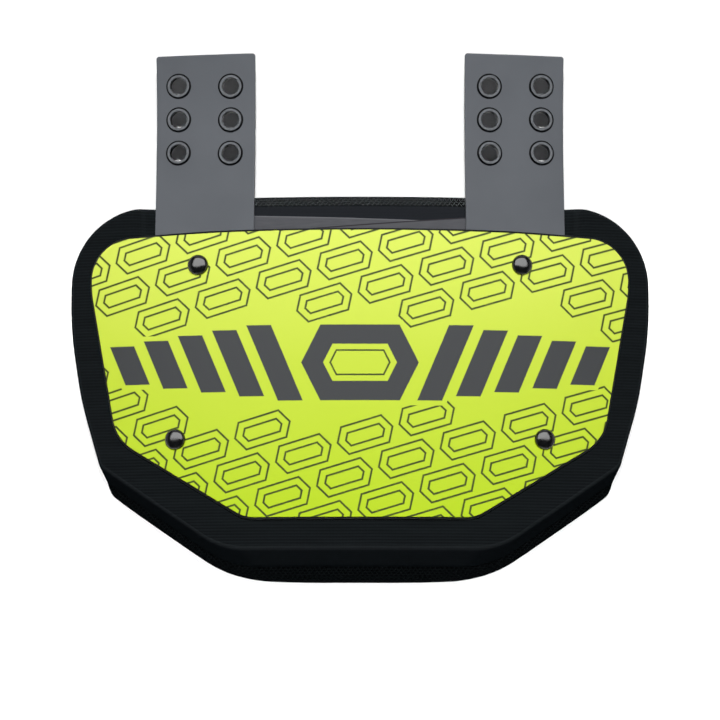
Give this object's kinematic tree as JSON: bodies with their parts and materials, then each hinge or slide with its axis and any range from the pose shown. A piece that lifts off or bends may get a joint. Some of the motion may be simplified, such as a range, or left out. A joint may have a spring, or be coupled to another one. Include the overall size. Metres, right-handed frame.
{
  "type": "football back plate",
  "caption": "Curved foam-backed back plate with a stiff face shell and two stiff straps with eyelets, for bolting below football shoulder pads.",
  "frame": {"origin": "middle of the footprint, on the surface that the plate lies on with its lined back down", "axes": "+X across the plate to the right as seen from its face, +Y towards the ends of the straps, +Z out of the plate's face"},
  "size_m": [0.331, 0.2974, 0.0493],
  "materials": {
    "shell_face": "satin lime face with printed pattern, black bevelled edge",
    "pad_fabric": "finely ribbed dark knit over foam",
    "liner_mesh": "coarse dark air mesh over foam",
    "band_sheet": "matt grey sheet",
    "strap_sheet": "satin grey sheet",
    "eyelet_metal": "glossy black",
    "screw_metal": "glossy black"
  },
  "bodies": {
    "root": {"pad": "pad_fabric", "liner": "liner_mesh", "shell": "shell_face", "band_rear": "band_sheet", "band_front": "band_sheet", "strap_left": "strap_sheet", "strap_right": "strap_sheet", "eyelet_left_1_1": "eyelet_metal", "eyelet_left_1_2": "eyelet_metal", "eyelet_left_2_1": "eyelet_metal", "eyelet_left_2_2": "eyelet_metal", "eyelet_left_3_1": "eyelet_metal", "eyelet_left_3_2": "eyelet_metal", "eyelet_right_1_1": "eyelet_metal", "eyelet_right_1_2": "eyelet_metal", "eyelet_right_2_1": "eyelet_metal", "eyelet_right_2_2": "eyelet_metal", "eyelet_right_3_1": "eyelet_metal", "eyelet_right_3_2": "eyelet_metal", "screw_upper_left": "screw_metal", "screw_upper_right": "screw_metal", "screw_lower_left": "screw_metal", "screw_lower_right": "screw_metal"}
  },
  "joints": []
}
